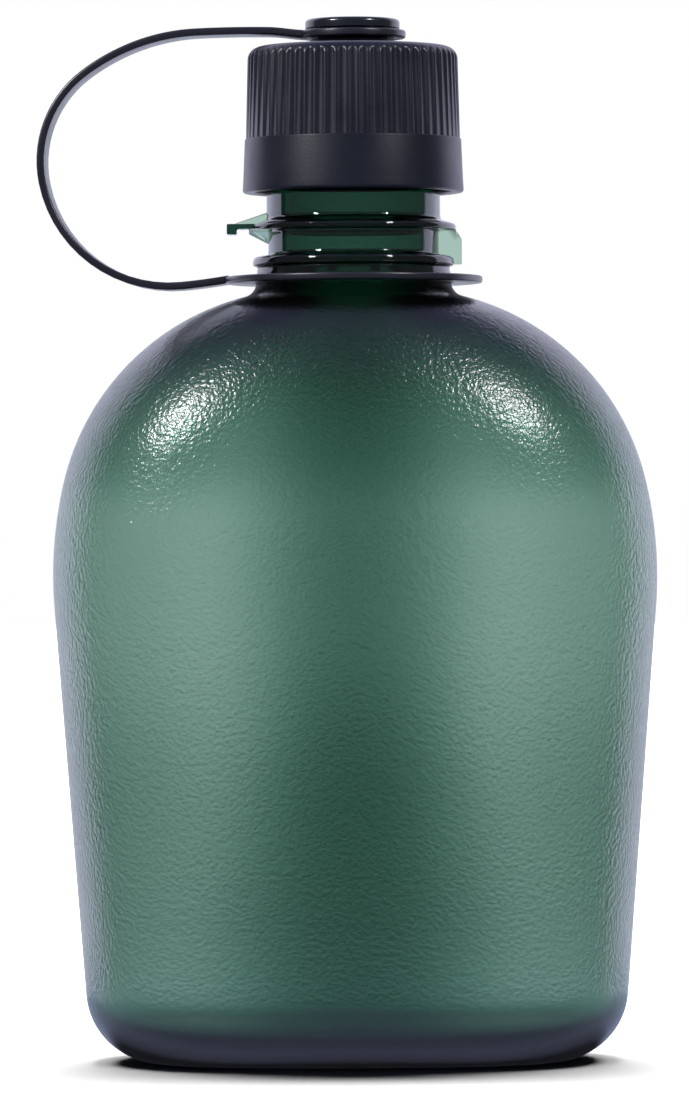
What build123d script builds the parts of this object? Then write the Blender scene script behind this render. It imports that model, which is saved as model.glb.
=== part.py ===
from build123d import *

# One-quart canteen: a hollow kidney-shaped bottle, a screw cap with a liner, and a moulded tether.
# Millimetres. +Z is up along the neck, +X to the wearer's left and -Y is the convex front. The origin
# is on the neck's axis, in the plane of the foot ring that the bottle stands on.

import os
from math import atan, cos, degrees, pi, radians, sin, sqrt, tan

# ---- Bottle body: driving sizes --------------------------------------------------------------
BODY_WIDTH = 132.0
BODY_DEPTH = 71.0  # front to back at the middle, before the ends are swept back
THIN_WALL = 0.95  # the flanks, which are blown out furthest
BASE_GAIN = 0.25  # how much thicker the wall gets towards the base
NECK_GAIN = 3.2  # and at most towards the neck
MIDDLE_GAIN = 1.5  # and down the middle of the front and back, where the plastic hung before it was blown
MIDDLE_BASE_GAIN = 0.35  # more of the same towards the base
THIN_BOTTOM = 95.0  # below this the wall thickens towards the base, over the next height
BASE_BLEND = 45.0
THIN_TOP = 115.0  # above this it thickens towards the neck, by 1 mm in the next height
NECK_BLEND = 32.5
SHOULDER_GAIN = 0.4  # and by this much all over between the next two heights
SHOULDER_BOTTOM = 118.0
SHOULDER_TOP = 134.0
MIDDLE_FADE = 20.0  # height below the neck over which the thick middle fades out
FLOOR = 6.0  # the inside of the pinched-off base, whose underside is pushed up
BOW = 3.0  # how far the ends are swept back to follow the hip
FRONT_FULLNESS = 0.45  # how much squarer than half an ellipse the front is
BACK_FULLNESS = 1.0  # and the back: over 0.5, its middle is hollow between its two ends
MIDDLE_SHARPNESS = 20.0  # the thick middle is narrow
MIDDLE_SHARPNESS_BASE = 10.0  # but spreads towards the base, between the next two heights
MIDDLE_SPREAD_TOP = 70.0
MIDDLE_SPREAD_BOTTOM = 28.0

WIDTH_SIDE_RADIUS = 89.4  # bulge of the flanks, seen from the front
WIDTH_DOME_RADIUS = 54.3  # shoulders, seen from the front
WIDTH_DOME_START = radians(13.5)  # where the flank's arc hands over to the shoulder's
WIDTH_TAPER = radians(4.43)  # the flanks lean in towards the base
WIDTH_CORNER = 16.0
DEPTH_SIDE_RADIUS = 2500.0  # the front and back are almost straight up and down
DEPTH_DOME_RADIUS = 56.0
DEPTH_TAPER = 0.04
DEPTH_CORNER = 15.0

FOOT_RECESS = 2.2
FOOT_RING_ENDS = 9.0  # width of the ring that the bottle stands on, at its two ends
FOOT_RING_SIDES = 6.3  # and at the front and back
SECTION_POINTS = 32

# ---- Neck ------------------------------------------------------------------------------------
STEM_RADIUS = 21.3  # where the shoulder runs into the neck
STEM_TOP = 171.3
NECK_FOOT = 167.0  # how deep the neck's plain stem runs into the shoulder
BORE_FOOT = 160.0  # how deep the bore is cut, well inside the cavity
ROOT_FILLET = 3.2
ROOT_HEIGHT = 170.1  # centre of the root fillet
BORE_RADIUS = 14.9
BORE_LEAD_RADIUS = 15.2  # the cavity's own top, a little wider than the bore
BORE_LEAD_FILLET = 3.0
BORE_LEAD_TOP = 172.6
NECK_RADIUS = 18.95
WAIST_RADIUS = 18.6  # between the two flanges
RIM_HEIGHT = 217.4
RIM_EDGE = 0.6
LOWER_FLANGE_RADIUS = 22.1
LOWER_FLANGE_BOTTOM = 173.5
LOWER_FLANGE_TOP = 175.7
UPPER_FLANGE_RADIUS = 22.4
UPPER_FLANGE_BOTTOM = 181.3
UPPER_FLANGE_EDGE_TOP = 182.6
UPPER_FLANGE_TOP = 183.7
LUG_REACH = 27.6
LUG_WIDTH = 8.0
LUG_BOTTOM = 181.7
LUG_TOP = 182.8
LUG_LIP = 2.2
LUG_LIP_DROP = 1.2
GUSSET_THICKNESS = 1.5
GUSSET_TOP = 185.3
GUSSET_BOTTOM = 178.4
STOP_PLATE_REACH = 23.6
STOP_PLATE_THICKNESS = 1.5
STOP_PLATE_CHAMFER = 1.9

# ---- Screw thread ----------------------------------------------------------------------------
THREAD_PITCH = 25.4 / 6
THREAD_TURNS = 1.75
THREAD_START = 202.5
NECK_THREAD_RADIUS = 20.2
THREAD_ROOT_WIDTH = 2.2
THREAD_CREST_WIDTH = 1.0
THREAD_SINK = 0.3  # how deep a thread's root reaches into the wall that carries it
THREAD_CLEARANCE = 0.35

# ---- Cap -------------------------------------------------------------------------------------
CAP_BOTTOM = 189.6
CAP_TOP = 221.4
CAP_CEILING = 219.0
CAP_GRIP_RADIUS = 23.35
CAP_GRIP_TOP_RADIUS = 22.85
CAP_GRIP_BOTTOM = 201.3
CAP_EDGE = 2.8
SKIRT_TOP_RADIUS = 23.6
SKIRT_BOTTOM_RADIUS = 24.15
SKIRT_LIP = 2.0  # height of the flared lip
SKIRT_BORE_RADIUS = 21.5
SKIRT_BORE_TOP = 197.0
CAP_BORE_RADIUS = NECK_THREAD_RADIUS + THREAD_CLEARANCE
FLUTES = 60
FLUTE_RADIUS = 1.15
FLUTE_DEPTH = 0.5
LINER_RADIUS = 19.4
LINER_GAP = 0.05

# ---- Post, button and tether -----------------------------------------------------------------
BOSS_RADIUS = 9.2
BOSS_TOP = 223.0
POST_RADIUS = 7.6
POST_TOP = 225.2
BUTTON_RADIUS = 10.3
BUTTON_BOTTOM = 225.3
BUTTON_TOP = 227.4
BUTTON_EDGE = 0.8
STEM_PIN_RADIUS = 4.0
STEM_PIN_BOTTOM = 221.9
SNAP_BEAD = 0.3
SNAP_BEAD_HEIGHT = 1.0
PIN_CLEARANCE = 0.08
TETHER_THICKNESS = 1.7
CAP_RING_RADIUS = 11.6
CAP_RING_HOLE = 7.9
CAP_RING_BOTTOM = 223.25
NECK_RING_RADIUS = 28.1
NECK_RING_HOLE = 21.9
NECK_RING_BOTTOM = 169.85
NECK_RING_THICKNESS = 1.45
STRAP_WIDTH = 9.6
STRAP_TURN = -4.0  # degrees: the loop has settled a little towards the back
# The strap's middle line as (x, z): it dips off the neck ring, turns up round the loop and lies flat at the cap.
STRAP_ROOT = (-27.0, 170.82)
STRAP_ROUTE = [
    (-29.1, 170.5),
    (-37.4, 169.5),
    (-67.7, 192.2),
    (-58.5, 216.0),
    (-46.6, 222.3),
    (-34.1, 224.7),
    (-18.0, 224.85),
]


class BodyProfile:
    """Half the body's size against height in one view: base corner, leaning flank, bulge, shoulder, root."""

    def __init__(self, half, side_radius, dome_radius, dome_start, taper, corner):
        self.taper, self.corner = taper, corner
        self.side_radius, self.dome_radius = side_radius, dome_radius
        self.dome_start = dome_start
        self.dome_x = half - side_radius + (side_radius - dome_radius) * cos(dome_start)
        root_x = STEM_RADIUS + ROOT_FILLET
        self.dome_z = ROOT_HEIGHT - sqrt((dome_radius + ROOT_FILLET) ** 2 - (root_x - self.dome_x) ** 2)
        self.side_x = half - side_radius
        self.side_z = self.dome_z - (side_radius - dome_radius) * sin(dome_start)

    def flank(self, z, inset):
        """The straight, leaning flank below the bulge."""
        at_x = self.side_x + (self.side_radius - inset) * cos(self.taper)
        at_z = self.side_z - (self.side_radius - inset) * sin(self.taper)
        return at_x - (at_z - z) * tan(self.taper)

    def root(self, inset, stem, fillet):
        """The root fillet's centre radius and height, and the height where it leaves the shoulder."""
        dome, centre_x = self.dome_radius - inset, stem + fillet
        centre_z = self.dome_z + sqrt((dome + fillet) ** 2 - (centre_x - self.dome_x) ** 2)
        return centre_x, centre_z, self.dome_z + (centre_z - self.dome_z) * dome / (dome + fillet)

    def half_size(self, z, inset=0.0, stem=STEM_RADIUS, fillet=ROOT_FILLET, floor=0.0):
        side, dome = self.side_radius - inset, self.dome_radius - inset
        corner = self.corner - floor
        if z < floor + corner:
            lean = self.flank(self.corner, inset) - corner / cos(self.taper)
            arc = lean + sqrt(max(corner**2 - (self.corner - z) ** 2, 0.0))
            return min(arc, self.flank(z, inset))
        if z < self.side_z - side * sin(self.taper):
            return self.flank(z, inset)
        if z < self.side_z + side * sin(self.dome_start):
            return self.side_x + sqrt(side**2 - (z - self.side_z) ** 2)
        root_x, root_z, meet_z = self.root(inset, stem, fillet)
        if z < meet_z:
            return self.dome_x + sqrt(dome**2 - (z - self.dome_z) ** 2)
        if z < root_z:
            return root_x - sqrt(fillet**2 - (z - root_z) ** 2)
        return stem


WIDTH_PROFILE = BodyProfile(
    BODY_WIDTH / 2, WIDTH_SIDE_RADIUS, WIDTH_DOME_RADIUS, WIDTH_DOME_START, WIDTH_TAPER, WIDTH_CORNER
)
DEPTH_PROFILE = BodyProfile(BODY_DEPTH / 2, DEPTH_SIDE_RADIUS, DEPTH_DOME_RADIUS, 0.0, DEPTH_TAPER, DEPTH_CORNER)


def near_base(z):
    """0 above the wall's thin belt, turning smoothly to 1 towards the base."""
    low = min(max((THIN_BOTTOM - z) / BASE_BLEND, 0.0), 1.0)
    return low * low * (3 - 2 * low)


def wall(z):
    """The wall's thickness at the flanks against height."""
    high = max((z - THIN_TOP) / NECK_BLEND, 0.0)
    rise = min(max((z - SHOULDER_BOTTOM) / (SHOULDER_TOP - SHOULDER_BOTTOM), 0.0), 1.0)
    shoulder = SHOULDER_GAIN * rise * rise * (3 - 2 * rise)
    return THIN_WALL + BASE_GAIN * near_base(z) + shoulder + min(high**3, NECK_GAIN)


def middle_gain(z):
    """The middle's extra thickness against height, which fades out into the neck."""
    fade = min(max((BORE_LEAD_TOP - z) / MIDDLE_FADE, 0.0), 1.0)
    return (MIDDLE_GAIN + MIDDLE_BASE_GAIN * near_base(z)) * fade


def middle_sharpness(z):
    """How narrow the thick middle is against height."""
    low = min(max((MIDDLE_SPREAD_TOP - z) / (MIDDLE_SPREAD_TOP - MIDDLE_SPREAD_BOTTOM), 0.0), 1.0)
    return MIDDLE_SHARPNESS + (MIDDLE_SHARPNESS_BASE - MIDDLE_SHARPNESS) * low


def body_section(z, half_width, half_depth, reach, stem, gain=0.0):
    """The kidney-shaped outline at one height, which turns into a circle of radius stem at the neck.

    reach is the half width with the base corner left out, so that the base is swept like the flanks.
    gain draws the middle of the front and back inwards.
    Every outline starts at the middle of the back and has the same parameters, one step for each
    point, so that the loft through them is smooth.
    """
    swept = max((reach**2 - stem**2) / ((BODY_WIDTH / 2) ** 2 - stem**2), 0.0)
    points = []
    for i in range(SECTION_POINTS):
        turn = pi / 2 + 2 * pi * i / SECTION_POINTS
        across = cos(turn)
        fullness = swept * (BACK_FULLNESS if sin(turn) > 0 else FRONT_FULLNESS)
        depth = half_depth - gain * abs(sin(turn)) ** middle_sharpness(z)
        deep = depth * sin(turn) * (1 + fullness * across**2) + BOW * swept * across**2
        points.append((half_width * across, deep, z))
    steps = [float(i) for i in range(SECTION_POINTS + 1)]
    return Face(Wire([Edge.make_spline(points, periodic=True, parameters=steps)]))


def body_heights(floor, inset, stem, fillet, top):
    """Heights of the loft's sections, closer together where the outline turns."""
    corner = WIDTH_CORNER - floor
    low = [floor + corner * (1 - cos(radians(a))) for a in range(0, 91, 15)]
    flank = [30.0, 46.0, 62.0, 78.0, 92.0, 104.0, 114.0]
    _, root_z, meet_z = WIDTH_PROFILE.root(inset, stem, fillet)
    dome = [WIDTH_PROFILE.dome_z + WIDTH_DOME_RADIUS * sin(radians(a)) for a in range(10, 80, 7)]
    dome = [z for z in dome if z < meet_z - 0.5]
    root = [meet_z + (root_z - meet_z) * share for share in (0.0, 0.35, 0.7, 1.0)]
    return low + flank + dome + root + [top]


def body_outside():
    sections = []
    for z in body_heights(0.0, 0.0, STEM_RADIUS, ROOT_FILLET, STEM_TOP):
        reach = WIDTH_PROFILE.half_size(max(z, WIDTH_CORNER))
        half_width, half_depth = WIDTH_PROFILE.half_size(z), DEPTH_PROFILE.half_size(z)
        sections.append(body_section(z, half_width, half_depth, reach, STEM_RADIUS))
    return loft(sections)


def body_cavity():
    """The hollow inside the body, which runs up into the neck's bore."""
    stem, root = BORE_LEAD_RADIUS, BORE_LEAD_FILLET
    sections = []
    for z in body_heights(FLOOR, wall(RIM_HEIGHT), stem, root, BORE_LEAD_TOP):
        inset = wall(z)
        half_width = WIDTH_PROFILE.half_size(z, inset, stem, root, FLOOR)
        half_depth = DEPTH_PROFILE.half_size(z, inset, stem, root, FLOOR)
        reach = WIDTH_PROFILE.half_size(max(z, WIDTH_CORNER), inset, stem, root, FLOOR)
        sections.append(body_section(z, half_width, half_depth, reach, stem, middle_gain(z)))
    return loft(sections)


def ring(outer, inner, bottom, thickness):
    """A plain washer."""
    return Pos(0, 0, bottom) * extrude(Circle(outer) - Circle(inner), thickness)


def turned(points):
    """A solid of revolution about Z from an outline of (radius, height) points."""
    outline = make_face(Polyline(*[(r, 0, z) for r, z in points], close=True))
    return revolve(outline, Axis.Z)


def thread(wall_radius, crest_radius, start):
    """One helical ridge from a wall out, or in, to its crest."""
    inward = crest_radius < wall_radius
    root = wall_radius + THREAD_SINK if inward else wall_radius - THREAD_SINK
    path = Helix(THREAD_PITCH, THREAD_PITCH * THREAD_TURNS, root, center=(0, 0, start))
    flat = Plane(origin=path @ 0, x_dir=(1, 0, 0), z_dir=path % 0)
    depth = crest_radius - root
    half_root, half_crest = THREAD_ROOT_WIDTH / 2, THREAD_CREST_WIDTH / 2
    # the plane's own y runs along Z, up or down as its z_dir has it, and the ridge is the same either way
    ridge = flat * make_face(
        Polyline((0, -half_root), (depth, -half_crest), (depth, half_crest), (0, half_root), close=True)
    )
    return sweep(ridge, path, is_frenet=True)


def neck_outside():
    """The neck's outside with both flanges and the rim, before the bore is cut."""
    outline = [
        (0, NECK_FOOT),
        (STEM_RADIUS - 0.3, NECK_FOOT),
        (STEM_RADIUS - 0.4, LOWER_FLANGE_BOTTOM),
        (LOWER_FLANGE_RADIUS, LOWER_FLANGE_BOTTOM),
        (LOWER_FLANGE_RADIUS, LOWER_FLANGE_BOTTOM + 0.6),
        (LOWER_FLANGE_RADIUS - 0.5, LOWER_FLANGE_TOP - 0.6),
        (LOWER_FLANGE_RADIUS - 1.4, LOWER_FLANGE_TOP),
        (WAIST_RADIUS, LOWER_FLANGE_TOP),
        (WAIST_RADIUS, UPPER_FLANGE_BOTTOM),
        (UPPER_FLANGE_RADIUS, UPPER_FLANGE_BOTTOM),
        (UPPER_FLANGE_RADIUS, UPPER_FLANGE_EDGE_TOP),
        (NECK_RADIUS, UPPER_FLANGE_TOP),
        (NECK_RADIUS, RIM_HEIGHT - RIM_EDGE),
        (NECK_RADIUS - RIM_EDGE, RIM_HEIGHT),
        (0, RIM_HEIGHT),
    ]
    return turned(outline)


def plate(points, thickness):
    """A flat plate in the XZ plane, centred on Y = 0."""
    face = make_face(Polyline(*[(x, 0, z) for x, z in points], close=True))
    return extrude(face, thickness / 2, both=True)


def hook_lug():
    """The flat tongue on the left of the upper flange, with its lip and two gussets."""
    inside = WAIST_RADIUS - 1.0
    tongue = Pos(-(LUG_REACH + inside) / 2, 0, (LUG_TOP + LUG_BOTTOM) / 2) * Box(
        LUG_REACH - inside, LUG_WIDTH, LUG_TOP - LUG_BOTTOM
    )
    lip_height = LUG_TOP - LUG_BOTTOM + LUG_LIP_DROP
    lip = Pos(-LUG_REACH + LUG_LIP / 2, 0, LUG_TOP - lip_height / 2) * Box(LUG_LIP, LUG_WIDTH, lip_height)
    upper = plate([(-inside, LUG_BOTTOM), (-25.8, LUG_BOTTOM + 0.5), (-25.8, LUG_TOP), (-inside, GUSSET_TOP + 0.5)],
                  GUSSET_THICKNESS)
    lower = plate([(-inside, LUG_TOP), (-22.8, LUG_TOP - 0.5), (-22.8, LUG_BOTTOM - 1.0),
                   (-inside, GUSSET_BOTTOM - 0.4)], GUSSET_THICKNESS)
    return tongue + lip + upper + lower


def stop_plate():
    """The upright plate on the right, between the two flanges."""
    inside = WAIST_RADIUS - 1.0
    return plate(
        [
            (inside, LOWER_FLANGE_BOTTOM + 0.4),
            (STOP_PLATE_REACH, LOWER_FLANGE_BOTTOM + 0.4),
            (STOP_PLATE_REACH, UPPER_FLANGE_BOTTOM - STOP_PLATE_CHAMFER),
            (UPPER_FLANGE_RADIUS - 0.1, UPPER_FLANGE_BOTTOM + 0.2),
            (inside, UPPER_FLANGE_BOTTOM + 0.2),
        ],
        STOP_PLATE_THICKNESS,
    )


def foot_recess():
    """The shallow hollow under the base that leaves a ring to stand on."""
    half_width = WIDTH_PROFILE.half_size(0.0) - FOOT_RING_ENDS
    half_depth = DEPTH_PROFILE.half_size(0.0) - FOOT_RING_SIDES
    reach = WIDTH_PROFILE.half_size(WIDTH_CORNER)
    low = body_section(-1.0, half_width, half_depth, reach, STEM_RADIUS)
    return extrude(low, 1.0 + FOOT_RECESS)


def bottle():
    """The one-piece bottle, given as its body and its neck, which meet face to face at the stem's foot."""
    bore = Pos(0, 0, BORE_FOOT) * extrude(Circle(BORE_RADIUS), RIM_HEIGHT - BORE_FOOT + 1)
    solid = body_outside() + neck_outside() + hook_lug() + stop_plate()
    solid += thread(NECK_RADIUS, NECK_THREAD_RADIUS, THREAD_START)
    solid = solid - body_cavity() - bore - foot_recess()
    join = Plane.XY.offset(STEM_TOP)
    return split(solid, bisect_by=join, keep=Keep.BOTTOM), split(solid, bisect_by=join, keep=Keep.TOP)


def cap():
    outline = [
        (0, CAP_CEILING),
        (CAP_BORE_RADIUS, CAP_CEILING),
        (CAP_BORE_RADIUS, SKIRT_BORE_TOP),
        (SKIRT_BORE_RADIUS, SKIRT_BORE_TOP - 1.0),
        (SKIRT_BORE_RADIUS, CAP_BOTTOM),
        (SKIRT_BOTTOM_RADIUS - 0.5, CAP_BOTTOM),
        (SKIRT_BOTTOM_RADIUS, CAP_BOTTOM + 0.6),
        (SKIRT_BOTTOM_RADIUS - 0.1, CAP_BOTTOM + SKIRT_LIP),
        (SKIRT_TOP_RADIUS, CAP_GRIP_BOTTOM - 0.2),
        (SKIRT_TOP_RADIUS - 0.2, CAP_GRIP_BOTTOM),
        (CAP_GRIP_RADIUS, CAP_GRIP_BOTTOM),
        (CAP_GRIP_TOP_RADIUS, CAP_TOP),
        (0, CAP_TOP),
    ]
    shell = turned(outline)
    top_edge = shell.edges().filter_by(GeomType.CIRCLE).group_by(Axis.Z)[-1]
    shell = fillet(top_edge, CAP_EDGE)
    shell -= flutes()
    shell += thread(CAP_BORE_RADIUS, NECK_RADIUS + THREAD_CLEARANCE, THREAD_START - THREAD_PITCH / 2)
    return shell + post()


def flutes():
    """Round-bottomed grooves round the grip, cut down to the skirt's ledge, that lean in with its draft."""
    centre = CAP_GRIP_RADIUS - FLUTE_DEPTH + FLUTE_RADIUS
    height = CAP_TOP - CAP_GRIP_BOTTOM
    draft = degrees(atan((CAP_GRIP_RADIUS - CAP_GRIP_TOP_RADIUS) / height))
    cutter = Pos(centre, 0, CAP_GRIP_BOTTOM) * Rot(0, -draft, 0) * extrude(Circle(FLUTE_RADIUS), height + 1)
    return [Rot(0, 0, 360 * i / FLUTES) * cutter for i in range(FLUTES)]


def pin_outline(grown):
    """The button's snap-in stem as (radius, height), or its socket when grown by the clearance."""
    radius, bead = STEM_PIN_RADIUS + grown, STEM_PIN_RADIUS + SNAP_BEAD + grown
    bottom = STEM_PIN_BOTTOM - grown
    return [
        (0, bottom),
        (radius, bottom),
        (bead, bottom + SNAP_BEAD_HEIGHT / 2),
        (bead, bottom + SNAP_BEAD_HEIGHT + grown),
        (radius, bottom + SNAP_BEAD_HEIGHT * 1.5 + grown),
        (radius, POST_TOP + 0.5),
        (0, POST_TOP + 0.5),
    ]


def post():
    """The post on the cap that the tether's ring turns on, hollow for the button's stem."""
    outline = [
        (0, CAP_TOP - 1.0),
        (BOSS_RADIUS, CAP_TOP - 1.0),
        (BOSS_RADIUS, BOSS_TOP - 0.3),
        (BOSS_RADIUS - 0.3, BOSS_TOP),
        (POST_RADIUS, BOSS_TOP),
        (POST_RADIUS, POST_TOP),
        (0, POST_TOP),
    ]
    return turned(outline) - turned(pin_outline(PIN_CLEARANCE))


def tether_button():
    """The snap-in button that keeps the tether's ring on the cap's post."""
    head = Pos(0, 0, BUTTON_BOTTOM) * extrude(Circle(BUTTON_RADIUS), BUTTON_TOP - BUTTON_BOTTOM)
    head = fillet(head.edges().group_by(Axis.Z)[-1], BUTTON_EDGE)
    return head + turned(pin_outline(0.0))


def cap_liner():
    bottom = RIM_HEIGHT + LINER_GAP
    return Pos(0, 0, bottom) * extrude(Circle(LINER_RADIUS), CAP_CEILING - bottom)


def strap_path():
    """The strap's middle line in the XZ plane: out from the neck ring, round the loop and in to the cap ring."""
    pieces = [Line(STRAP_ROOT, STRAP_ROUTE[0])]
    for end in STRAP_ROUTE[1:]:
        pieces.append(TangentArc(pieces[-1] @ 1, end, tangent=pieces[-1] % 1))
    ring_middle = CAP_RING_BOTTOM + TETHER_THICKNESS / 2
    ring_edge = (-CAP_RING_RADIUS + 0.5, ring_middle)
    pieces.append(Spline(pieces[-1] @ 1, ring_edge, tangents=(pieces[-1] % 1, (1, 0))))
    return pieces


def tether_strap():
    """A flat strap of one width, bent the easy way round its loop, up to the edge of each ring."""
    flat = trace(Wire(strap_path()), line_width=TETHER_THICKNESS)
    bar = extrude(Rot(90, 0, 0) * flat, STRAP_WIDTH / 2, both=True)
    neck_end = Pos(0, 0, NECK_RING_BOTTOM) * Cylinder(NECK_RING_RADIUS, 20)
    cap_end = Pos(0, 0, CAP_RING_BOTTOM) * Cylinder(CAP_RING_RADIUS, 20)
    return Rot(0, 0, STRAP_TURN) * (bar - neck_end - cap_end)


def parts():
    bottle_body, bottle_neck = bottle()
    return {
        "bottle_body": bottle_body,
        "bottle_neck": bottle_neck,
        "cap": cap(),
        "cap_liner": cap_liner(),
        "tether_button": tether_button(),
        "tether_neck_ring": ring(NECK_RING_RADIUS, NECK_RING_HOLE, NECK_RING_BOTTOM, NECK_RING_THICKNESS),
        "tether_cap_ring": ring(CAP_RING_RADIUS, CAP_RING_HOLE, CAP_RING_BOTTOM, TETHER_THICKNESS),
        "tether_strap": tether_strap(),
    }


os.makedirs("parts", exist_ok=True)
for name, shape in parts().items():
    export_step(shape, f"parts/{name}.step")
    print(name, "volume", round(shape.volume), "valid", shape.is_valid, "solids", len(shape.solids()))
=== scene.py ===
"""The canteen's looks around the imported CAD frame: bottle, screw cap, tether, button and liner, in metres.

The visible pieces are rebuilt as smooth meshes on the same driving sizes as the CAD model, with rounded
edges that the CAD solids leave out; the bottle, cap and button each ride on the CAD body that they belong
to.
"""

from math import atan2, cos, pi, radians, sin, sqrt, tan

import bmesh
import bpy
import numpy as np
from mathutils import Matrix, Vector


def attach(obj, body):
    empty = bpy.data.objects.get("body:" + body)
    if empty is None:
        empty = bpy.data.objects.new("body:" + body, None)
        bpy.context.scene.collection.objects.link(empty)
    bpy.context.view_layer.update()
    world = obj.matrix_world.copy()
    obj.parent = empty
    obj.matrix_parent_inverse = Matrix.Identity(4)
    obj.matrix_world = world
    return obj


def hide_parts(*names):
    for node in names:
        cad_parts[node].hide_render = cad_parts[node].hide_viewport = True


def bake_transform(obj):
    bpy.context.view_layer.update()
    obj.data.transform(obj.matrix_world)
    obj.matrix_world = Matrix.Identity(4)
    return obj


MM = 0.001

# ---- Bottle body, millimetres, as the CAD model has them ------------------------------------------
BODY_WIDTH = 132.0
BODY_DEPTH = 71.0
THIN_WALL = 0.95
BASE_GAIN = 0.25
NECK_GAIN = 3.2
MIDDLE_GAIN = 1.5
MIDDLE_BASE_GAIN = 0.35
FLOOR = 6.0
THIN_BOTTOM = 95.0
BASE_BLEND = 45.0
THIN_TOP = 115.0
NECK_BLEND = 32.5
SHOULDER_GAIN = 0.4
SHOULDER_BOTTOM = 118.0
SHOULDER_TOP = 134.0
MIDDLE_FADE = 20.0
MIDDLE_SHARPNESS = 20.0
MIDDLE_SHARPNESS_BASE = 10.0
MIDDLE_SPREAD_TOP = 70.0
MIDDLE_SPREAD_BOTTOM = 28.0
BOW = 3.0
FRONT_FULLNESS = 0.45
BACK_FULLNESS = 1.0
STEM_RADIUS = 21.3
ROOT_FILLET = 3.2
ROOT_HEIGHT = 170.1
WIDTH_SIDE_RADIUS = 89.4
WIDTH_DOME_RADIUS = 54.3
WIDTH_DOME_START = radians(13.5)
WIDTH_TAPER = radians(4.43)
WIDTH_CORNER = 16.0
DEPTH_SIDE_RADIUS = 2500.0
DEPTH_DOME_RADIUS = 56.0
DEPTH_TAPER = 0.04
DEPTH_CORNER = 15.0
FOOT_RECESS = 2.2
BORE_LEAD_RADIUS = 15.2
BORE_LEAD_FILLET = 3.0
BORE_LEAD_TOP = 172.6
# The base's hollow: (share of the way out to the foot's outline, share of the recess).
FOOT_STEPS = [(0.25, 1.0), (0.5, 1.0), (0.72, 1.0), (0.76, 0.92), (0.8, 0.35), (0.83, 0.06), (0.86, 0.0)]
FLOOR_STEPS = (0.9, 0.6, 0.3)  # shares of the way out to the inner floor's edge
STEM_TOP = ROOT_HEIGHT + 0.4  # where the body's outlines end

# ---- Neck -----------------------------------------------------------------------------------------
NECK_START = 171.4
STEM_DRAFT = 0.4
BORE_RADIUS = 14.9
NECK_RADIUS = 18.95
WAIST_RADIUS = 18.6
RIM_HEIGHT = 217.4
LOWER_FLANGE_RADIUS = 22.1
LOWER_FLANGE_BOTTOM = 173.5
LOWER_FLANGE_TOP = 175.7
LOWER_FLANGE_DRAFT = 0.3
UPPER_FLANGE_RADIUS = 22.4
UPPER_FLANGE_BOTTOM = 181.3
UPPER_FLANGE_EDGE_TOP = 182.6
UPPER_FLANGE_TOP = 183.7
INSIDE_WAIST = WAIST_RADIUS - 1.0  # where lug and stop plate start, within the neck's wall
LUG_REACH = 27.6
LUG_WIDTH = 8.0
LUG_BOTTOM = 181.7
LUG_TOP = 182.8
LUG_LIP = 2.2
LUG_LIP_DROP = 1.2
LUG_BEVEL = 0.3
GUSSET_THICKNESS = 1.5
GUSSET_BEVEL = 0.15
UPPER_GUSSET_REACH = 25.8
UPPER_GUSSET_TOP = 185.8
LOWER_GUSSET_REACH = 22.8
LOWER_GUSSET_BOTTOM = 178.0
STOP_PLATE_REACH = 23.6
STOP_PLATE_CHAMFER = 1.9
STOP_PLATE_THICKNESS = 1.5
STOP_PLATE_BEVEL = 0.25
NECK_FILLETS = [0.5, 0.6, 1.1, 1.0, 0.5, 0.5, 0.9, 1.3, 0.8, 0.8]  # at the outline's corners, from below
THREAD_PITCH = 25.4 / 6
THREAD_TURNS = 1.75
THREAD_START = 202.5
THREAD_HALF_ROOT = 1.1
THREAD_HALF_CREST = 0.5
THREAD_HALF_TIP = 0.3
THREAD_RUN_OUT = 1 / 8  # of its length, at each end
THREAD_STEPS = 72  # in a turn
NECK_THREAD_RADIUS = 20.2
CAP_THREAD_RADIUS = 19.3
OVERLAP = 0.3  # how far joined pieces reach into each other
NEAR_AXIS = 0.4  # the last radius of a turned outline, before the fan that closes it

# ---- Cap, button and tether -----------------------------------------------------------------------
CAP_BOTTOM = 189.6
CAP_TOP = 221.4
CAP_CEILING = 219.0
CAP_GRIP_RADIUS = 23.35
CAP_GRIP_TOP_RADIUS = 22.85
CAP_GRIP_BOTTOM = 201.3
CAP_EDGE = 2.8
SKIRT_TOP_RADIUS = 23.6
SKIRT_BOTTOM_RADIUS = 24.15
SKIRT_FLARE = 0.15
SKIRT_FLARE_HEIGHT = 2.4
SKIRT_BORE_RADIUS = 21.5
SKIRT_BORE_TOP = 197.0
CAP_BORE_RADIUS = 20.55
FLUTES = 60
FLUTE_RADIUS = 1.15
FLUTE_DEPTH = 0.5
FLUTE_POINTS = 12
CAP_FILLETS = [0.3, 0.2, 0.2, 0.3, 0.3, CAP_EDGE, 0.0, 0.22, 3.0, 0.6, 0.5, 0.4, 0.4, 0.8]
BOSS_RADIUS = 9.2
BOSS_TOP = 223.0
POST_RADIUS = 7.6
POST_TOP = 225.2
SOCKET_RADIUS = 4.08
SOCKET_BOTTOM = 221.8
BUTTON_RADIUS = 10.3
BUTTON_BOTTOM = 225.3
BUTTON_TOP = 227.4
BUTTON_FILLETS = [0.85, 0.2, 0.0, 0.0, 0.0, 0.0, 0.0]
PIN_RADIUS = 4.0
PIN_BOTTOM = 221.9
PIN_BARB = 0.3
TETHER_THICKNESS = 1.7
TETHER_EDGE = 0.45
CAP_RING_RADIUS = 11.6
CAP_RING_HOLE = 7.9
CAP_RING_BOTTOM = 223.25
NECK_RING_RADIUS = 28.1
NECK_RING_HOLE = 21.9
NECK_RING_BOTTOM = 169.85
NECK_RING_THICKNESS = 1.45
NECK_RING_EDGE = 0.4
STRAP_WIDTH = 9.6
STRAP_TURN = radians(-4.0)
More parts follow.
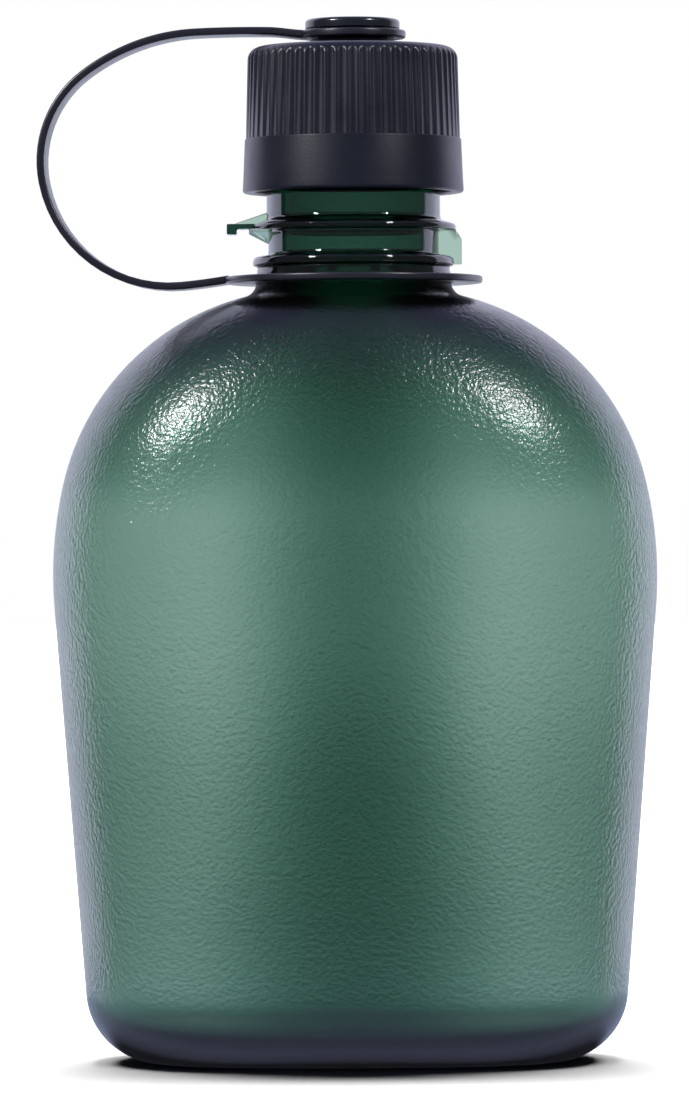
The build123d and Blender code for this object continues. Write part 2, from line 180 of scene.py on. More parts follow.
STRAP_ROOT = (-27.0, 170.82)
STRAP_ROUTE = [
    (-29.1, 170.5),
    (-37.4, 169.5),
    (-67.7, 192.2),
    (-58.5, 216.0),
    (-46.6, 222.3),
    (-34.1, 224.7),
    (-18.0, 224.85),
]
ARC_STEPS = 14
STRAP_END_STEPS = 8
ALMOST_STRAIGHT = 1e-6  # radians

# ---- Fineness of the meshes -----------------------------------------------------------------------
AROUND = 224  # points round the bottle
BUTTON_AROUND = 128
RING_AROUND = 160
FLANK_STEPS = 36
ROOT_STEPS = 12
SHARP = radians(40)  # edges sharper than this stay sharp in the shading

# ---- Materials ------------------------------------------------------------------------------------
PLASTIC_IOR = 1.54
PLASTIC_TINT = (0.129, 0.436, 0.343, 1)
PLASTIC_DENSITY = 700.0
SKIN_FROM = (0.010, 0.020)  # metres up, between which the skin's grain grows in
SKIN_TO = (0.162, 0.169)  # and between which it dies out
SKIN_SCALE = 1150.0
SKIN_DEPTH = 0.0002
CLEAR_ROUGHNESS = 0.03
SKIN_ROUGHNESS = 0.25
CLOUD_SCALE = 90.0  # the black plastic's soft patches
CLOUD_SPAN = (0.3, 0.7)  # the noise's values between which the gloss changes
CLOUD_SHADES = (0.85, 1.15)
CLOUD_GLOSS = (-0.04, 0.06)
FINE_BUMP = 0.0001
FOAM_COLOURS = ((0.78, 0.78, 0.75, 1), (0.62, 0.62, 0.6, 1))
FOAM_SCALE = 2500.0
FOAM_ROUGHNESS = 0.75
FOAM_BUMP = 0.4

# ---- Studio ---------------------------------------------------------------------------------------
CAMERA_DISTANCE = 1.5
CAMERA_SIDE = -0.0023
CAMERA_HEIGHT = 0.1117
CAMERA_ROLL = radians(0.29)
FRAME_HEIGHT = 0.240  # seen at the bottle's axis
SENSOR_WIDTH = 36.0
CLIP_END = 100.0
# The room as glossy surfaces mirror it: (how far back, from 0 in front to 1 behind, and its colour).
ROOM = [
    (0.66, (0.16, 0.17, 0.21)),
    (0.70, (1.45, 1.42, 1.85)),
    (0.90, (1.40, 1.40, 1.80)),
    (0.98, (0.90, 0.95, 1.15)),
]
CEILING = (0.32, 0.35, 0.64)  # the room's dim blue colour straight above and below
CEILING_SLOPES = (0.55, 0.9)  # the slopes between which it takes over
TABLE_PAINTED_REFLECTION = (0.45, 0.52, 0.78)  # painted reflection of the lit table round the bottle, on a glowing sheet that only glossy rays see
TABLE_PAINTED_THROUGH_BASE = (0.55, 0.62, 0.62)  # the same painted table as it shows through the base, on a glowing sheet that only transmission rays see
TABLE_SIZE = 150.0  # from its middle to each side
FOOT_PAINTED_SHADOW = (1.1, 1.35)  # painted shadow of the bottle, in sizes of the foot: dark inside the first, full past the second
# The room as it shows through the bottle's walls.
BACKLIGHT = [(0.25, (0.55, 0.57, 0.56)), (0.65, (1.0, 1.02, 1.0))]
BACKLIGHT_LOW = (-0.15, -0.03)  # the slopes between which it dims downwards
BACKLIGHT_LOW_SHARE = 0.3
DOME_RADIUS = 9000.0
DOME_AROUND = 48
LAMP_DISTANCE = 1.1
LAMP_SIZE = (0.12, 0.12)
LAMP_AIM = Vector((0, 0, 0.14))
# The lamps in front: (degrees round, degrees up, watts).
LAMPS = {"left_lamp": (-52.2, 31.5, 10.0), "right_lamp": (45.8, 34.0, 7.0)}
# The floor's own lights: (degrees round from behind, degrees off the vertical, spread in degrees, strength).
FLOOR_SUNS = {
    "back_sun": (0, 15.5, 24, 117.0),
    "left_sun": (-55, 30, 20, 54.0),
    "right_sun": (55, 30, 20, 54.0),
}
FLOOR_ALBEDO = 0.03  # low, so that the floor's own lights alone show on it


# ---- Mesh helpers ---------------------------------------------------------------------------------
def mesh_object(name, vertices, faces, materials, sharp=SHARP):
    """A smooth-shaded mesh object from millimetre vertices."""
    mesh = bpy.data.meshes.new(name)
    mesh.from_pydata([tuple(c * MM for c in v) for v in vertices], [], faces)
    for material in materials:
        mesh.materials.append(material)
    mesh.validate()
    piece = bpy.data.objects.new(name, mesh)
    bpy.context.scene.collection.objects.link(piece)
    smooth(piece, sharp)
    return piece


def smooth(piece, sharp=SHARP):
    """Smooth shading that keeps edges sharper than the given angle."""
    for polygon in piece.data.polygons:
        polygon.use_smooth = True
    piece.data.set_sharp_from_angle(angle=sharp)


def outward(piece):
    """Turns every face to point out of its closed mesh."""
    grown = bmesh.new()
    grown.from_mesh(piece.data)
    bmesh.ops.recalc_face_normals(grown, faces=grown.faces)
    grown.to_mesh(piece.data)
    grown.free()


def ring_mesh(rings, closed_loop=False):
    """Faces that join rings of equally many vertices, with a fan at each end or joined end to end."""
    count = len(rings[0])
    vertices = [tuple(point) for points in rings for point in points]
    faces = []
    spans = len(rings) if closed_loop else len(rings) - 1
    for j in range(spans):
        low, high = j * count, (j + 1) % len(rings) * count
        for i in range(count):
            after = (i + 1) % count
            faces.append((low + i, low + after, high + after, high + i))
    if not closed_loop:
        for ring_index, flip in ((0, True), (len(rings) - 1, False)):
            middle = np.mean(np.array(rings[ring_index]), axis=0)
            vertices.append(tuple(middle))
            start, centre = ring_index * count, len(vertices) - 1
            for i in range(count):
                edge = (start + i, start + (i + 1) % count)
                faces.append((edge[1], edge[0], centre) if flip else (edge[0], edge[1], centre))
    return vertices, faces


def rounded(points, radii, step=radians(15)):
    """An open outline with its corners rounded: radii holds one radius for each inner corner."""
    out = [points[0]]
    for before, corner, after, radius in zip(points, points[1:], points[2:], radii):
        if radius == 0:
            out.append(corner)
            continue
        back = Vector((before[0] - corner[0], before[1] - corner[1])).normalized()
        ahead = Vector((after[0] - corner[0], after[1] - corner[1])).normalized()
        half = back.angle(ahead) / 2
        centre = Vector(corner) + (back + ahead).normalized() * (radius / sin(half))
        first = Vector(corner) + back * (radius / tan(half))
        last = Vector(corner) + ahead * (radius / tan(half))
        start = atan2(first.y - centre.y, first.x - centre.x)
        sweep = atan2(last.y - centre.y, last.x - centre.x) - start
        sweep = (sweep + pi) % (2 * pi) - pi
        steps = max(int(abs(sweep) / step), 2)
        for i in range(steps + 1):
            angle = start + sweep * i / steps
            out.append((centre.x + radius * cos(angle), centre.y + radius * sin(angle)))
    return out + [points[-1]]


def circles(outline, around):
    """One ring of points for each (radius, height) of an outline."""
    turns = [2 * pi * i / around for i in range(around)]
    return [[(r * cos(t), r * sin(t), z) for t in turns] for r, z in outline]


def lathe(name, outline, materials, around, closed_loop=True):
    """A closed turned mesh from an outline of (radius, height) points."""
    piece = mesh_object(name, *ring_mesh(circles(outline, around), closed_loop), materials)
    outward(piece)
    return piece


def bevelled(name, outline, thickness, bevel, materials):
    """A plate cut from an outline in its XZ plane, centred on Y = 0, with small rounded edges."""
    count, half = len(outline), thickness / 2
    vertices = [(x, side * half, z) for side in (-1, 1) for x, z in outline]
    faces = [tuple(range(count)), tuple(range(2 * count - 1, count - 1, -1))]
    faces += [(i, i + count, (i + 1) % count + count, (i + 1) % count) for i in range(count)]
    piece = mesh_object(name, vertices, faces, materials)
    outward(piece)
    grown = bmesh.new()
    grown.from_mesh(piece.data)
    bmesh.ops.bevel(grown, geom=grown.edges[:], offset=bevel * MM, segments=3, affect="EDGES", profile=0.5)
    grown.to_mesh(piece.data)
    grown.free()
    smooth(piece)
    return piece


def unite(piece, others):
    """Joins closed meshes to a piece with a boolean union, and removes them."""
    for other in others:
        modifier = piece.modifiers.new("union", "BOOLEAN")
        modifier.operation, modifier.solver, modifier.object = "UNION", "MANIFOLD", other
        bpy.context.view_layer.update()
        result = piece.evaluated_get(bpy.context.evaluated_depsgraph_get())
        made = bpy.data.meshes.new_from_object(result)
        piece.modifiers.clear()
        piece.data = made
        bpy.data.objects.remove(other)
    smooth(piece)
    return piece


# ---- Bottle ---------------------------------------------------------------------------------------
class BodyProfile:
    """Half the body's size against height in one view: base corner, leaning flank, bulge, shoulder, root."""

    def __init__(self, half, side_radius, dome_radius, dome_start, taper, corner):
        self.taper, self.corner = taper, corner
        self.side_radius, self.dome_radius = side_radius, dome_radius
        self.dome_start = dome_start
        self.dome_x = half - side_radius + (side_radius - dome_radius) * cos(dome_start)
        root_x = STEM_RADIUS + ROOT_FILLET
        self.dome_z = ROOT_HEIGHT - sqrt((dome_radius + ROOT_FILLET) ** 2 - (root_x - self.dome_x) ** 2)
        self.side_x = half - side_radius
        self.side_z = self.dome_z - (side_radius - dome_radius) * sin(dome_start)

    def flank(self, z, inset):
        """The straight, leaning flank below the bulge."""
        at_x = self.side_x + (self.side_radius - inset) * cos(self.taper)
        at_z = self.side_z - (self.side_radius - inset) * sin(self.taper)
        return at_x - (at_z - z) * tan(self.taper)

    def root(self, inset, stem, fillet):
        """The root fillet's centre radius and height, and the height where it leaves the shoulder."""
        dome, centre_x = self.dome_radius - inset, stem + fillet
        centre_z = self.dome_z + sqrt((dome + fillet) ** 2 - (centre_x - self.dome_x) ** 2)
        return centre_x, centre_z, self.dome_z + (centre_z - self.dome_z) * dome / (dome + fillet)

    def half_size(self, z, inset=0.0, stem=STEM_RADIUS, fillet=ROOT_FILLET, floor=0.0):
        side, dome = self.side_radius - inset, self.dome_radius - inset
        corner = self.corner - floor
        if z < floor + corner:
            lean = self.flank(self.corner, inset) - corner / cos(self.taper)
            arc = lean + sqrt(max(corner**2 - (self.corner - z) ** 2, 0.0))
            return min(arc, self.flank(z, inset))
        if z < self.side_z - side * sin(self.taper):
            return self.flank(z, inset)
        if z < self.side_z + side * sin(self.dome_start):
            return self.side_x + sqrt(side**2 - (z - self.side_z) ** 2)
        root_x, root_z, meet_z = self.root(inset, stem, fillet)
        if z < meet_z:
            return self.dome_x + sqrt(dome**2 - (z - self.dome_z) ** 2)
        if z < root_z:
            return root_x - sqrt(fillet**2 - (z - root_z) ** 2)
        return stem


WIDTH_PROFILE = BodyProfile(
    BODY_WIDTH / 2, WIDTH_SIDE_RADIUS, WIDTH_DOME_RADIUS, WIDTH_DOME_START, WIDTH_TAPER, WIDTH_CORNER
)
DEPTH_PROFILE = BodyProfile(
    BODY_DEPTH / 2, DEPTH_SIDE_RADIUS, DEPTH_DOME_RADIUS, 0.0, DEPTH_TAPER, DEPTH_CORNER
)


def near_base(z):
    """0 above the wall's thin belt, turning smoothly to 1 towards the base."""
    low = min(max((THIN_BOTTOM - z) / BASE_BLEND, 0.0), 1.0)
    return low * low * (3 - 2 * low)


def wall(z):
    """The wall's thickness at the flanks against height."""
    high = max((z - THIN_TOP) / NECK_BLEND, 0.0)
    rise = min(max((z - SHOULDER_BOTTOM) / (SHOULDER_TOP - SHOULDER_BOTTOM), 0.0), 1.0)
    shoulder = SHOULDER_GAIN * rise * rise * (3 - 2 * rise)
    return THIN_WALL + BASE_GAIN * near_base(z) + shoulder + min(high**3, NECK_GAIN)


def middle_gain(z):
    """The middle's extra thickness against height, which fades out into the neck."""
    fade = min(max((BORE_LEAD_TOP - z) / MIDDLE_FADE, 0.0), 1.0)
    return (MIDDLE_GAIN + MIDDLE_BASE_GAIN * near_base(z)) * fade


def middle_sharpness(z):
    """How narrow the thick middle is against height."""
    low = min(max((MIDDLE_SPREAD_TOP - z) / (MIDDLE_SPREAD_TOP - MIDDLE_SPREAD_BOTTOM), 0.0), 1.0)
    return MIDDLE_SHARPNESS + (MIDDLE_SHARPNESS_BASE - MIDDLE_SHARPNESS) * low


def body_ring(z, half_width, half_depth, reach, stem, gain=0.0):
    """One outline of the body, a kidney that turns into a circle at the neck."""
    swept = max((reach**2 - stem**2) / ((BODY_WIDTH / 2) ** 2 - stem**2), 0.0)
    points = []
    for i in range(AROUND):
        turn = 2 * pi * i / AROUND
        across = cos(turn)
        fullness = swept * (BACK_FULLNESS if sin(turn) > 0 else FRONT_FULLNESS)
        depth = half_depth - gain * abs(sin(turn)) ** middle_sharpness(z)
        deep = depth * sin(turn) * (1 + fullness * across**2) + BOW * swept * across**2
        points.append((half_width * across, deep, z))
    return points


def body_heights(floor, inset, stem, fillet, top):
    """Heights of the body's outlines, closer together where they turn."""
    corner = WIDTH_CORNER - floor
    low = [floor + corner * (1 - cos(radians(a))) for a in range(0, 90, 5)]
    flank = list(np.linspace(WIDTH_CORNER, WIDTH_PROFILE.side_z, FLANK_STEPS))
    _, root_z, meet_z = WIDTH_PROFILE.root(inset, stem, fillet)
    dome = [WIDTH_PROFILE.dome_z + WIDTH_DOME_RADIUS * sin(radians(a)) for a in np.arange(-6, 80, 2)]
    dome = [z for z in dome if flank[-1] + 1 < z < meet_z - 0.5]
    root = list(np.linspace(meet_z, root_z, ROOT_STEPS))
    return low + flank + dome + root + [top]


def outer_rings():
    rings = []
    for z in body_heights(0.0, 0.0, STEM_RADIUS, ROOT_FILLET, STEM_TOP):
        reach = WIDTH_PROFILE.half_size(max(z, WIDTH_CORNER))
        half_width, half_depth = WIDTH_PROFILE.half_size(z), DEPTH_PROFILE.half_size(z)
        rings.append(body_ring(z, half_width, half_depth, reach, STEM_RADIUS))
    return rings


def cavity_rings():
    stem, root = BORE_LEAD_RADIUS, BORE_LEAD_FILLET
    rings = []
    for z in body_heights(FLOOR, wall(RIM_HEIGHT), stem, root, BORE_LEAD_TOP):
        rule = (wall(z), stem, root, FLOOR)
        reach = WIDTH_PROFILE.half_size(max(z, WIDTH_CORNER), *rule)
        half_width, half_depth = WIDTH_PROFILE.half_size(z, *rule), DEPTH_PROFILE.half_size(z, *rule)
        rings.append(body_ring(z, half_width, half_depth, reach, stem, middle_gain(z)))
    return rings


def foot_rings():
    """The base from the middle of its hollow out to the ring that the bottle stands on."""
    edge = np.array(outer_rings()[0])
    rings = []
    for share, rise in FOOT_STEPS:
        ring = edge * share
        ring[:, 2] = FOOT_RECESS * rise
        rings.append([tuple(p) for p in ring])
    return rings


def neck_outline():
    """The neck's outside from the stem up, over the rim and down the bore."""
    points = [
        (STEM_RADIUS, NECK_START),
        (STEM_RADIUS - STEM_DRAFT, LOWER_FLANGE_BOTTOM),
        (LOWER_FLANGE_RADIUS, LOWER_FLANGE_BOTTOM),
        (LOWER_FLANGE_RADIUS - LOWER_FLANGE_DRAFT, LOWER_FLANGE_TOP),
        (WAIST_RADIUS, LOWER_FLANGE_TOP),
        (WAIST_RADIUS, UPPER_FLANGE_BOTTOM),
        (UPPER_FLANGE_RADIUS, UPPER_FLANGE_BOTTOM),
        (UPPER_FLANGE_RADIUS, UPPER_FLANGE_EDGE_TOP),
        (NECK_RADIUS, UPPER_FLANGE_TOP),
        (NECK_RADIUS, RIM_HEIGHT),
        (BORE_RADIUS, RIM_HEIGHT),
        (BORE_RADIUS, BORE_LEAD_TOP + 0.2),
    ]
    return rounded(points, NECK_FILLETS, radians(10))


def hook_lug(material):
    """The hook's tongue with its lip, and a gusset above and below it."""
    side = [
        (-INSIDE_WAIST, LUG_TOP),
        (-LUG_REACH, LUG_TOP),
        (-LUG_REACH, LUG_BOTTOM - LUG_LIP_DROP),
        (-LUG_REACH + LUG_LIP, LUG_BOTTOM - LUG_LIP_DROP),
        (-LUG_REACH + LUG_LIP, LUG_BOTTOM),
        (-INSIDE_WAIST, LUG_BOTTOM),
    ]
    upper = [
        (-INSIDE_WAIST, LUG_BOTTOM + OVERLAP),
        (-UPPER_GUSSET_REACH, LUG_BOTTOM + OVERLAP),
        (-UPPER_GUSSET_REACH, LUG_TOP + 0.2),
        (-INSIDE_WAIST, UPPER_GUSSET_TOP),
    ]
    lower = [
        (-INSIDE_WAIST, LUG_TOP - OVERLAP),
        (-LOWER_GUSSET_REACH, LUG_TOP - OVERLAP),
        (-LOWER_GUSSET_REACH, LUG_BOTTOM - 1.0),
        (-INSIDE_WAIST, LOWER_GUSSET_BOTTOM),
    ]
    return [
        bevelled("lug_tongue", side, LUG_WIDTH, LUG_BEVEL, [material, material]),
        bevelled("lug_upper_gusset", upper, GUSSET_THICKNESS, GUSSET_BEVEL, [material, material]),
        bevelled("lug_lower_gusset", lower, GUSSET_THICKNESS, GUSSET_BEVEL, [material, material]),
    ]


def stop_plate(material):
    """The upright plate between the two flanges, which reaches a little into both."""
    foot, top = LOWER_FLANGE_BOTTOM + 0.4, UPPER_FLANGE_BOTTOM + 0.2
    outline = [
        (INSIDE_WAIST, foot),
        (STOP_PLATE_REACH, foot),
        (STOP_PLATE_REACH, UPPER_FLANGE_BOTTOM - STOP_PLATE_CHAMFER),
        (UPPER_FLANGE_RADIUS - 0.1, top),
        (INSIDE_WAIST, top),
    ]
    return bevelled("stop_plate_tool", outline, STOP_PLATE_THICKNESS, STOP_PLATE_BEVEL, [material, material])


def thread(name, wall_radius, crest_radius, start, material):
    """A helical ridge whose height fades at both ends."""
    sink = OVERLAP if crest_radius > wall_radius else -OVERLAP
    steps = int(THREAD_TURNS * THREAD_STEPS)
    rings = []
    for k in range(steps + 1):
        turn = 2 * pi * THREAD_TURNS * k / steps
        fade = min(k / steps, (steps - k) / steps, THREAD_RUN_OUT) / THREAD_RUN_OUT
        root = wall_radius - sink
        crest = wall_radius + (crest_radius - wall_radius) * fade
        half_crest = THREAD_HALF_CREST * fade + THREAD_HALF_TIP * (1 - fade)
        z = start + THREAD_PITCH * turn / (2 * pi)
        section = [
            (root, -THREAD_HALF_ROOT),
            (crest, -half_crest),
            (crest, half_crest),
            (root, THREAD_HALF_ROOT),
        ]
        rings.append([(r * cos(turn), r * sin(turn), z + rise) for r, rise in section])
    piece = mesh_object(name, *ring_mesh(rings), [material, material])
    outward(piece)
    return piece


def bottle(plastic):
    """The whole bottle as one closed wall: base, outside, rim, bore, cavity and inner floor."""
    outside = foot_rings() + outer_rings()
    inside = cavity_rings()
    inner_floor = np.array(inside[0])
    middle = []
    for share in FLOOR_STEPS:
        ring = inner_floor * share
        ring[:, 2] = FLOOR
        middle.append([tuple(p) for p in ring])
    rings = outside + circles(neck_outline(), AROUND) + inside[::-1] + middle
    piece = mesh_object("bottle_shell", *ring_mesh(rings), [plastic, plastic])
    outward(piece)
    outer_faces = (len(outside) - 1) * AROUND
    above_foot = FOOT_RECESS * MM * 1.5  # only the base's own faces lie lower
    for polygon in piece.data.polygons:
        on_skin = polygon.index < outer_faces or polygon.center.z < above_foot
        polygon.material_index = 0 if on_skin else 1
    tools = hook_lug(plastic) + [stop_plate(plastic)]
    tools.append(thread("neck_thread_tool", NECK_RADIUS, NECK_THREAD_RADIUS, THREAD_START, plastic))
    for tool in tools:
        for polygon in tool.data.polygons:
            polygon.material_index = 1
    unite(piece, tools)
    mark_skin(piece)
    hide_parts("bottle_body", "bottle_neck")
    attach(piece, "bottle")
    return piece


def mark_skin(piece):
    """Stores which points lie on the body's moulded skin, and gives the whole wall one material.

    Till here the one material fills two slots, and the skin's faces are those of the first. The wall needs
    a single slot, because light that enters a volume by one has to leave it by the same one.
    """
    mesh = piece.data
    skin = np.zeros(len(mesh.vertices), dtype=np.float32)
    for polygon in mesh.polygons:
        if polygon.material_index == 0:
            skin[list(polygon.vertices)] = 1.0
    for polygon in mesh.polygons:
        if polygon.material_index == 1:
            skin[list(polygon.vertices)] = 0.0
            polygon.material_index = 0
    mesh.materials.pop(index=1)
    mesh.attributes.new("skin", "FLOAT", "POINT").data.foreach_set("value", skin)


# ---- Cap, liner and button ------------------------------------------------------------------------
def flute_limit(angle, z):
    """The radius that a flute leaves at one place round the grip."""
    draft = (CAP_GRIP_RADIUS - CAP_GRIP_TOP_RADIUS) * (z - CAP_GRIP_BOTTOM) / (CAP_TOP - CAP_GRIP_BOTTOM)
    centre = CAP_GRIP_RADIUS - FLUTE_DEPTH + FLUTE_RADIUS - draft
    pitch = 2 * pi / FLUTES
    off = (angle + pitch / 2) % pitch - pitch / 2
    reach = FLUTE_RADIUS**2 - (centre * sin(off)) ** 2
    return centre * cos(off) - sqrt(reach) if reach > 0 else CAP_GRIP_RADIUS + 1.0


def cap(material):
    """The cap from the socket in its post, down the fluted grip and skirt and up into its threaded bore."""
    outline = [
        (SOCKET_RADIUS, SOCKET_BOTTOM),
        (SOCKET_RADIUS, POST_TOP),
        (POST_RADIUS, POST_TOP),
        (POST_RADIUS, BOSS_TOP),
        (BOSS_RADIUS, BOSS_TOP),
        (BOSS_RADIUS, CAP_TOP),
        (CAP_GRIP_TOP_RADIUS, CAP_TOP),
        (CAP_GRIP_RADIUS, CAP_GRIP_BOTTOM),
        (SKIRT_TOP_RADIUS, CAP_GRIP_BOTTOM),
        (SKIRT_BOTTOM_RADIUS - SKIRT_FLARE, CAP_BOTTOM + SKIRT_FLARE_HEIGHT),
        (SKIRT_BOTTOM_RADIUS, CAP_BOTTOM),
        (SKIRT_BORE_RADIUS, CAP_BOTTOM),
        (SKIRT_BORE_RADIUS, SKIRT_BORE_TOP - 1.0),
        (CAP_BORE_RADIUS, SKIRT_BORE_TOP),
        (CAP_BORE_RADIUS, CAP_CEILING),
        (0.5, CAP_CEILING),
    ]
    outline = rounded(outline, CAP_FILLETS, radians(9))
    turns = [2 * pi * i / (FLUTES * FLUTE_POINTS) for i in range(FLUTES * FLUTE_POINTS)]
    rings = []
    for r, z in outline:
        fluted = CAP_GRIP_BOTTOM < z <= CAP_TOP and r > BOSS_RADIUS + 2
        radius = [min(r, flute_limit(t, z)) if fluted else r for t in turns]
        rings.append([(a * cos(t), a * sin(t), z) for a, t in zip(radius, turns)])
    piece = mesh_object("screw_cap", *ring_mesh(rings), [material], radians(35))
    outward(piece)
    start = THREAD_START - THREAD_PITCH / 2
    unite(piece, [thread("cap_thread_tool", CAP_BORE_RADIUS, CAP_THREAD_RADIUS, start, material)])
    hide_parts("cap")
    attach(piece, "cap")
    return piece


def button(material):
    """The button's head and its barbed pin."""
    outline = [
        (NEAR_AXIS, BUTTON_TOP),
        (BUTTON_RADIUS, BUTTON_TOP),
        (BUTTON_RADIUS, BUTTON_BOTTOM),
        (PIN_RADIUS, BUTTON_BOTTOM),
        (PIN_RADIUS, PIN_BOTTOM + 1.5),
        (PIN_RADIUS + PIN_BARB, PIN_BOTTOM + 1.0),
        (PIN_RADIUS + PIN_BARB, PIN_BOTTOM + 0.5),
        (PIN_RADIUS, PIN_BOTTOM),
        (NEAR_AXIS, PIN_BOTTOM),
    ]
    outline = rounded(outline, BUTTON_FILLETS, radians(10))
    piece = lathe("snap_button", outline, [material], BUTTON_AROUND, closed_loop=False)
    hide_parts("tether_button")
    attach(piece, "button")
    return piece


# ---- Tether ---------------------------------------------------------------------------------------
def washer(name, outer, inner, bottom, thickness, edge, material):
    """A flat ring with rounded edges."""
    top = bottom + thickness
    middle = (outer + inner) / 2
    corners = [(outer, bottom), (outer, top), (inner, top), (inner, bottom)]
    outline = [(middle, bottom)] + corners + [(middle, bottom)]
    return lathe(name, rounded(outline, [edge] * 4)[:-1], [material], RING_AROUND)


def arc(start, heading, end, steps):
    """Points after start along the arc that leaves it with the given heading and reaches end."""
    chord = Vector(end) - Vector(start)
    turn = atan2(heading.x * chord.y - heading.y * chord.x, heading.dot(chord))
    if abs(turn) < ALMOST_STRAIGHT:
        return [tuple(Vector(start) + chord * i / steps) for i in range(1, steps + 1)], heading
    radius = chord.length / (2 * sin(turn))
    left = Vector((-heading.y, heading.x))
    centre = Vector(start) + left * radius
    points = []
    for i in range(1, steps + 1):
        spin = Matrix.Rotation(2 * turn * i / steps, 2)
        points.append(tuple(centre + spin @ (Vector(start) - centre)))
    return points, Matrix.Rotation(2 * turn, 2) @ heading


def strap_line():
    """The strap's middle line as (x, z), along the same run of tangent arcs as the CAD strap."""
    line = [STRAP_ROOT, STRAP_ROUTE[0]]
    heading = (Vector(STRAP_ROUTE[0]) - Vector(STRAP_ROOT)).normalized()
    for end in STRAP_ROUTE[1:]:
        points, heading = arc(line[-1], heading, end, ARC_STEPS)
        line += points
    ring_end = Vector((-CAP_RING_RADIUS + 2.0, CAP_RING_BOTTOM + TETHER_THICKNESS / 2))
    start = Vector(line[-1])
    reach = (ring_end - start).length
    for i in range(1, STRAP_END_STEPS + 1):
        share = i / STRAP_END_STEPS
        stay = 2 * share**3 - 3 * share**2 + 1
        leave = share**3 - 2 * share**2 + share
        come = -2 * share**3 + 3 * share**2
        settle = share**3 - share**2
        point = start * stay + heading * leave * reach + ring_end * come + Vector((1, 0)) * settle * reach
        line.append(tuple(point))
    return line


def strap(material):
    """The strap as one swept bar with rounded edges, from inside one ring to inside the other."""
    line = [Vector(p) for p in strap_line()]
    half_thick = TETHER_THICKNESS / 2 - 0.02  # a little thinner than the rings, so that no faces meet
    half_wide = STRAP_WIDTH / 2
    corners = [
        (0, -half_thick),
        (half_wide, -half_thick),
        (half_wide, half_thick),
        (-half_wide, half_thick),
        (-half_wide, -half_thick),
        (0, -half_thick),
    ]
    section = rounded(corners, [TETHER_EDGE] * 4, radians(30))[:-1]
    rings = []
    for i, point in enumerate(line):
        along = (line[min(i + 1, len(line) - 1)] - line[max(i - 1, 0)]).normalized()
        across = Vector((-along.y, along.x))
        rings.append([(point.x + across.x * up, wide, point.y + across.y * up) for wide, up in section])
    piece = mesh_object("strap_tool", *ring_mesh(rings), [material])
    piece.data.transform(Matrix.Rotation(STRAP_TURN, 4, "Z"))
    outward(piece)
    return piece


def tether(material):
    """Both rings and the strap as one mesh."""
    neck_ring = (NECK_RING_RADIUS, NECK_RING_HOLE, NECK_RING_BOTTOM, NECK_RING_THICKNESS, NECK_RING_EDGE)
    cap_ring = (CAP_RING_RADIUS, CAP_RING_HOLE, CAP_RING_BOTTOM, TETHER_THICKNESS, TETHER_EDGE)
    piece = washer("tether", *neck_ring, material)
    top = washer("cap_ring_tool", *cap_ring, material)
    unite(piece, [strap(material), top])
    piece.name = "tether"
    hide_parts("tether_neck_ring", "tether_strap", "tether_cap_ring")
    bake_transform(piece)
    return piece


# ---- Materials ------------------------------------------------------------------------------------
def new_material(name):
    material = bpy.data.materials.new(name)
    material.use_nodes = True
    nodes = material.node_tree.nodes
    return material, nodes, material.node_tree.links, nodes["Principled BSDF"]


def glow_material(name):
    """A surface that only glows, and that no light sampling looks for."""
    material = bpy.data.materials.new(name)
    material.use_nodes = True
    material.cycles.emission_sampling = "NONE"
    nodes, links = material.node_tree.nodes, material.node_tree.links
    nodes.clear()
    glow = nodes.new("ShaderNodeEmission")
    links.new(glow.outputs["Emission"], nodes.new("ShaderNodeOutputMaterial").inputs["Surface"])
    return material, nodes, links, glow


def object_place(nodes):
    """Where a point lies on its own object, in metres."""
    return nodes.new("ShaderNodeTexCoord").outputs["Object"]


def noise(nodes, links, place, scale, detail):
    node = nodes.new("ShaderNodeTexNoise")
    node.inputs["Scale"].default_value = scale
    node.inputs["Detail"].default_value = detail
    links.new(place, node.inputs["Vector"])
    return node.outputs["Fac"]


def map_range(nodes, links, source, low, high, to_low, to_high):
    node = nodes.new("ShaderNodeMapRange")
    for key, value in zip(("From Min", "From Max", "To Min", "To Max"), (low, high, to_low, to_high)):
        node.inputs[key].default_value = value
    links.new(source, node.inputs["Value"])
    return node.outputs["Result"]


def colour_mix(nodes, links, share, first, second):
    """One colour that turns into another by a share, each a fixed colour or a socket."""
    node = nodes.new("ShaderNodeMix")
    node.data_type = "RGBA"
    links.new(share, node.inputs[0])
    for socket, value in ((node.inputs[6], first), (node.inputs[7], second)):
        if isinstance(value, tuple):
            socket.default_value = value
        else:
            links.new(value, socket)
    return node.outputs[2]


def bump(nodes, links, height, strength, distance):
    node = nodes.new("ShaderNodeBump")
    node.inputs["Strength"].default_value = strength
    node.inputs["Distance"].default_value = distance
    links.new(height, node.inputs["Height"])
    return node.outputs["Normal"]


def math_node(nodes, links, operation, *values):
    node = nodes.new("ShaderNodeMath")
    node.operation = operation
    for socket, value in zip(node.inputs, values):
        links.new(value, socket)
    return node.outputs["Value"]


